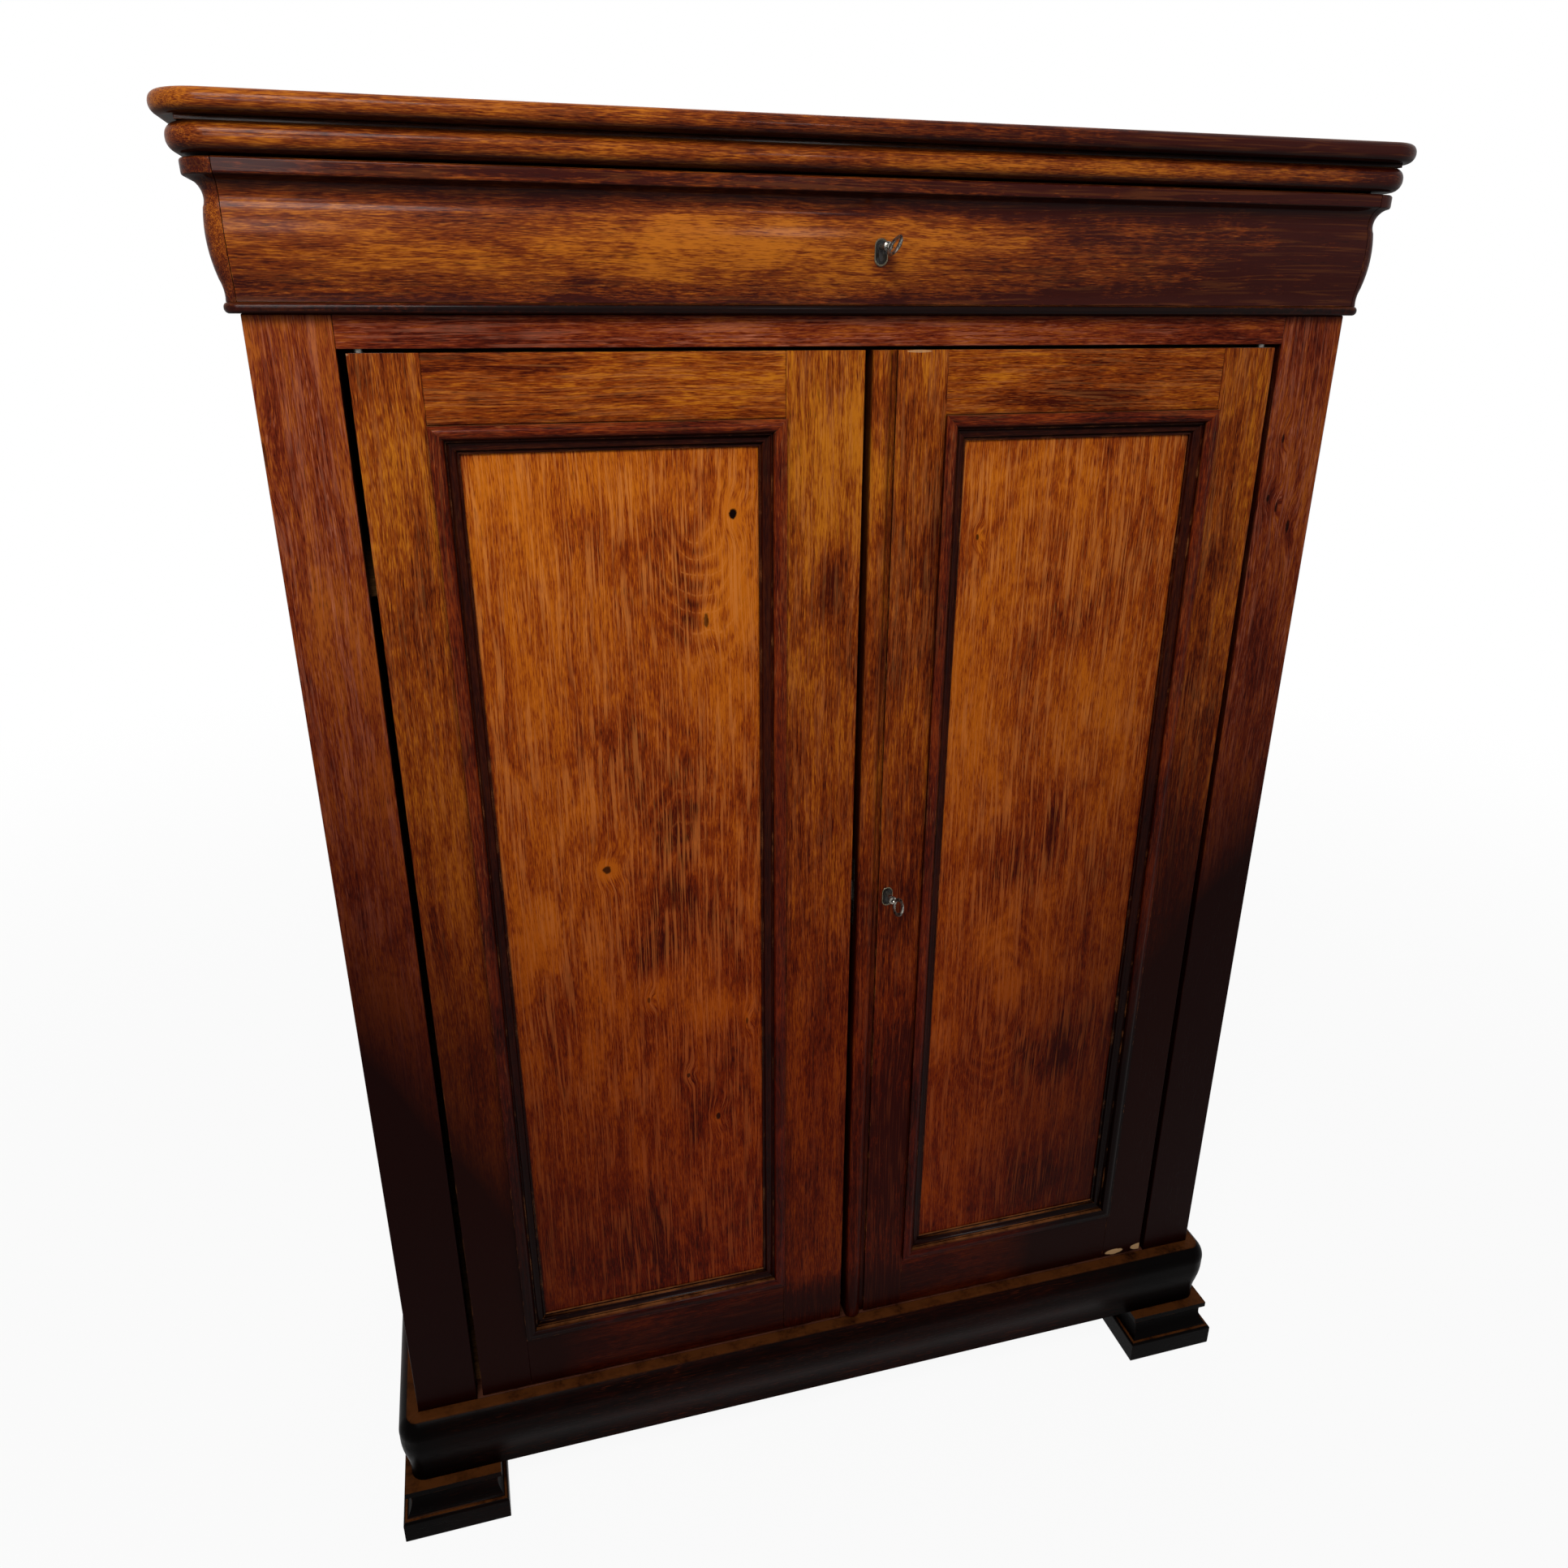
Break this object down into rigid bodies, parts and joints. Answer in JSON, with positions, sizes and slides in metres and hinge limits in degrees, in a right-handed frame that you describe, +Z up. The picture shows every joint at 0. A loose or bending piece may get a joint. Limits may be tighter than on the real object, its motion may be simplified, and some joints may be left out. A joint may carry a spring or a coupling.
{
  "type": "wardrobe",
  "caption": "Tall framed and panelled wardrobe with doors under an ogee cornice that opens as a drawer, a rounded top, a moulded plinth and block feet, and keys in its locks.",
  "frame": {"origin": "middle of the whole object's box, on the floor, with the keys counted", "axes": "+Z up, the doors face -Y, +X to the right of someone facing the doors"},
  "size_m": [1.184, 0.5864, 1.6108],
  "materials": {
    "frame_wood": "satin french polish, red-brown",
    "panel_wood": "satin french polish, figured",
    "moulding_wood": "glossy french polish, dark red",
    "cornice_wood": "satin french polish, orange-brown",
    "plinth_wood": "satin french polish, nearly black",
    "inside_wood": "bare planed softwood",
    "iron": "dark worn iron",
    "steel": "worn grey steel",
    "brass": "tarnished brass"
  },
  "bodies": {
    "carcass": {"left_stile": "frame_wood", "right_stile": "frame_wood", "top_rail": "frame_wood", "bottom_rail": "frame_wood", "frame_pivot_pins": "steel", "rear_posts": "frame_wood", "side_rails": "frame_wood", "left_side_panel": "frame_wood", "right_side_panel": "frame_wood", "back_boards": "inside_wood", "bottom_board": "inside_wood", "door_stops": "inside_wood", "hat_shelf": "inside_wood", "shelf_cleats": "inside_wood", "hanging_rail": "inside_wood", "rail_sockets": "inside_wood", "plinth_front": "plinth_wood", "left_plinth": "plinth_wood", "right_plinth": "plinth_wood", "left_front_foot": "plinth_wood", "right_front_foot": "plinth_wood", "rear_feet": "plinth_wood", "drawer_dust_board": "cornice_wood", "left_cornice_side": "cornice_wood", "right_cornice_side": "cornice_wood", "cornice_back": "inside_wood", "cornice_moulding": "cornice_wood", "top_board": "cornice_wood"},
    "drawer": {"drawer_front": "cornice_wood", "left_drawer_side": "inside_wood", "right_drawer_side": "inside_wood", "drawer_back": "inside_wood", "drawer_bottom": "inside_wood", "drawer_lock_case": "iron", "drawer_escutcheon": "brass"},
    "drawer_bolt": {"drawer_lock_bolt": "steel"},
    "drawer_key": {"drawer_key": "iron"},
    "left_door": {"left_door_hinge_stile": "frame_wood", "left_door_meeting_stile": "frame_wood", "left_door_top_rail": "frame_wood", "left_door_bottom_rail": "frame_wood", "left_door_panel": "panel_wood", "left_door_moulding": "moulding_wood", "left_door_pivot_plates": "steel", "door_strike_plate": "steel", "slide_bolt_plates": "steel"},
    "upper_bolt": {"upper_slide_bolt": "steel"},
    "lower_bolt": {"lower_slide_bolt": "steel"},
    "right_door": {"right_door_hinge_stile": "frame_wood", "right_door_meeting_stile": "frame_wood", "right_door_top_rail": "frame_wood", "right_door_bottom_rail": "frame_wood", "right_door_panel": "panel_wood", "right_door_moulding": "moulding_wood", "right_door_pivot_plates": "steel", "door_lock_case": "iron", "door_escutcheon": "brass"},
    "door_bolt": {"door_lock_bolt": "steel"},
    "door_key": {"door_key": "iron"}
  },
  "joints": [
    {"name": "left_door_hinge", "type": "hinge", "parent": "carcass", "child": "left_door", "pos_m": [-0.4605, -0.2148, 0.17], "axis": [0, 0, -1], "range_deg": [0, 100]},
    {"name": "right_door_hinge", "type": "hinge", "parent": "carcass", "child": "right_door", "pos_m": [0.4605, -0.2148, 0.17], "axis": [0, 0, 1], "range_deg": [0, 100]},
    {"name": "drawer_slide", "type": "slide", "parent": "carcass", "child": "drawer", "axis": [0, -1, 0], "range_m": [0, 0.33]},
    {"name": "door_key_turn", "type": "hinge", "parent": "right_door", "child": "door_key", "pos_m": [0.052, -0.2268, 0.82], "axis": [0, 1, 0], "range_deg": [0, 180]},
    {"name": "door_bolt_slide", "type": "slide", "parent": "right_door", "child": "door_bolt", "axis": [-1, 0, 0], "range_m": [0, 0.014]},
    {"name": "drawer_key_turn", "type": "hinge", "parent": "drawer", "child": "drawer_key", "pos_m": [0.014, -0.2268, 1.508], "axis": [0, 1, 0], "range_deg": [0, 180]},
    {"name": "drawer_bolt_slide", "type": "slide", "parent": "drawer", "child": "drawer_bolt", "axis": [0, 0, 1], "range_m": [0, 0.01]},
    {"name": "upper_bolt_slide", "type": "slide", "parent": "left_door", "child": "upper_bolt", "axis": [0, 0, 1], "range_m": [0, 0.012]},
    {"name": "lower_bolt_slide", "type": "slide", "parent": "left_door", "child": "lower_bolt", "axis": [0, 0, -1], "range_m": [0, 0.012]}
  ],
  "couplings": [
    {"joint": "door_bolt_slide", "follows": "door_key_turn", "m_per_rad": 0.004456},
    {"joint": "drawer_bolt_slide", "follows": "drawer_key_turn", "m_per_rad": 0.003183}
  ]
}
